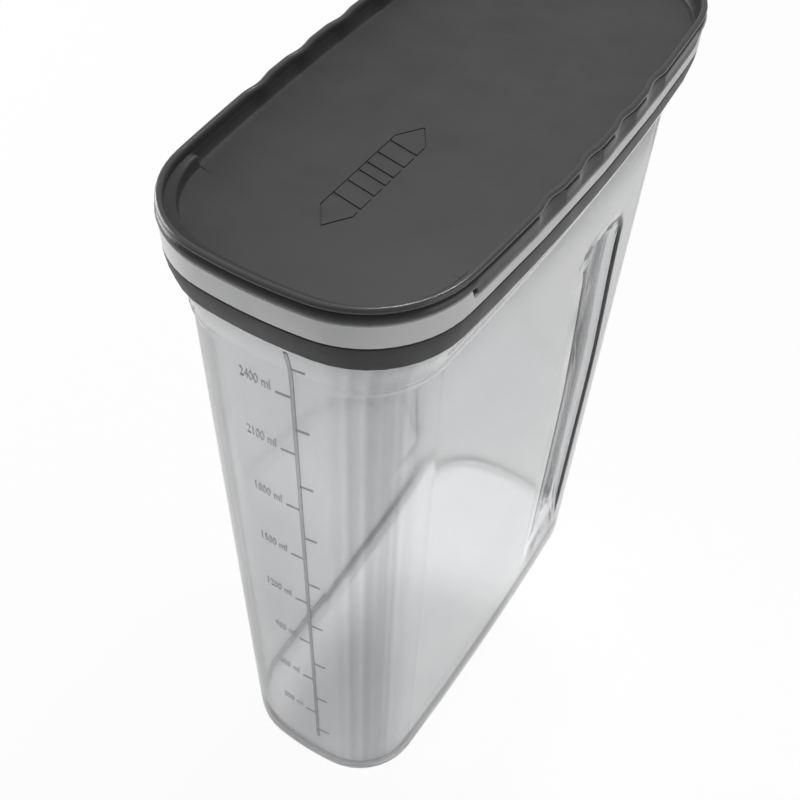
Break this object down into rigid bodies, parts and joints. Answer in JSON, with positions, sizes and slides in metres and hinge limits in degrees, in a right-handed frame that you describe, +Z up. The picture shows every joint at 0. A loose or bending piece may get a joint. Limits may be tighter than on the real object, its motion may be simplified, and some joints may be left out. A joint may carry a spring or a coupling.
{
  "type": "cereal container with flip lid",
  "caption": "Tall narrow clear pour container with rounded ends, a light ring and dark flip lid over a front pour mouth, and finger recesses in its long sides.",
  "frame": {"origin": "centre of the resting face under the body", "axes": "+Z up, long way of the container along Y, pour mouth and level scale at the -Y end, hinge at the +Y end, +X to the right seen from the pour end"},
  "size_m": [0.0934, 0.1932, 0.2618],
  "materials": {
    "clear_body": "clear, polished",
    "dark_plastic": "fine satin grain",
    "light_plastic": "satin",
    "soft_seal": "soft, matt",
    "pin_steel": "drawn wire"
  },
  "bodies": {
    "container": {"container_body": "clear_body"},
    "lid_base": {"lid_frame": "light_plastic", "seal_collar": "dark_plastic", "rim_gasket": "soft_seal", "hinge_pin_left": "pin_steel", "hinge_pin_right": "pin_steel"},
    "lid": {"flip_lid": "dark_plastic", "spout_seal": "soft_seal"}
  },
  "joints": [
    {"name": "lid_lift", "type": "slide", "parent": "container", "child": "lid_base", "axis": [0, 0, 1], "range_m": [0, 0.06]},
    {"name": "flip_lid_hinge", "type": "hinge", "parent": "lid_base", "child": "lid", "pos_m": [0, 0.0933, 0.2573], "axis": [-1, 0, 0], "range_deg": [0, 105]}
  ]
}
